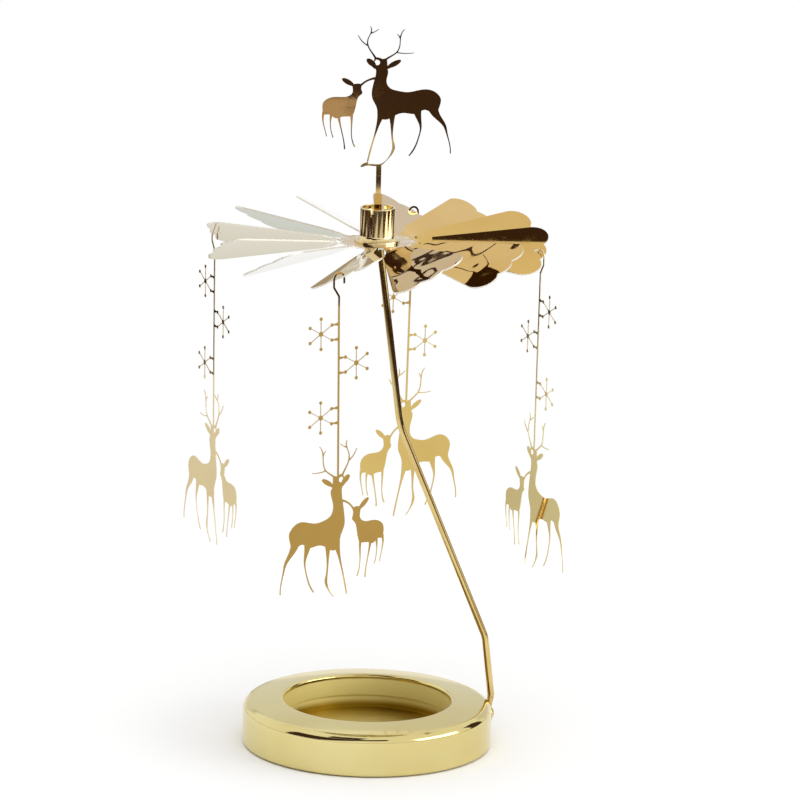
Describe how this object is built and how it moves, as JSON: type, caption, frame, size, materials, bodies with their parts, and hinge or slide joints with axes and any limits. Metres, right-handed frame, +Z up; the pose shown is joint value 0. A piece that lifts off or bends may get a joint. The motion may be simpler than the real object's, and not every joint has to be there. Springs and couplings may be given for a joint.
{
  "type": "candle carousel",
  "caption": "Gold-plated tealight carousel: a pitched wind wheel turns on a needle-tipped wire stem over a round candle base, with a flat deer topper and hanging deer and snowflake charms.",
  "frame": {"origin": "on the table, on the axis that the wheel turns about", "axes": "+Z up along the turning axis, +X to the right with the stem's foot on that side, +Y away from the viewer"},
  "size_m": [0.0946, 0.0992, 0.1811],
  "materials": {
    "base_gold": "polished pale gold plate on stamped sheet",
    "wire_gold": "polished gold plate on drawn wire",
    "wheel_gold": "mirror-polished gold plate on thin sheet",
    "hub_gold": "mirror-polished gold plate on turned and pressed metal",
    "figure_gold": "mirror-polished gold plate on thin cut sheet"
  },
  "bodies": {
    "stand": {"base_ring": "base_gold", "candle_dish": "base_gold", "stem": "wire_gold", "stem_rivet": "wire_gold"},
    "carousel": {"wind_wheel": "wheel_gold", "hub_tube": "hub_gold", "pivot_plug": "hub_gold"},
    "topper": {"deer_topper": "figure_gold"},
    "charm_front": {"charm_front": "figure_gold"},
    "charm_right": {"charm_right": "figure_gold"},
    "charm_rear": {"charm_rear": "figure_gold"},
    "charm_left": {"charm_left": "figure_gold"}
  },
  "joints": [
    {"name": "carousel_spin", "type": "hinge", "parent": "stand", "child": "carousel", "pos_m": [0, 0, 0.1319], "axis": [0, 0, 1], "continuous": true},
    {"name": "topper_lift", "type": "slide", "parent": "carousel", "child": "topper", "axis": [0, 0, 1], "range_m": [0, 0.004]},
    {"name": "charm_front_swing", "type": "hinge", "parent": "carousel", "child": "charm_front", "pos_m": [-0.00888, -0.04017, 0.1267], "axis": [-0.5878, 0.809, 0], "range_deg": [-15, 15]},
    {"name": "charm_right_swing", "type": "hinge", "parent": "carousel", "child": "charm_right", "pos_m": [0.03999, -0.00905, 0.12671], "axis": [-0.891, -0.454, 0], "range_deg": [-15, 15]},
    {"name": "charm_rear_swing", "type": "hinge", "parent": "carousel", "child": "charm_rear", "pos_m": [0.00888, 0.04017, 0.1267], "axis": [0.5878, -0.809, 0], "range_deg": [-15, 15]},
    {"name": "charm_left_swing", "type": "hinge", "parent": "carousel", "child": "charm_left", "pos_m": [-0.03999, 0.00905, 0.12671], "axis": [0.891, 0.454, 0], "range_deg": [-15, 15]}
  ]
}
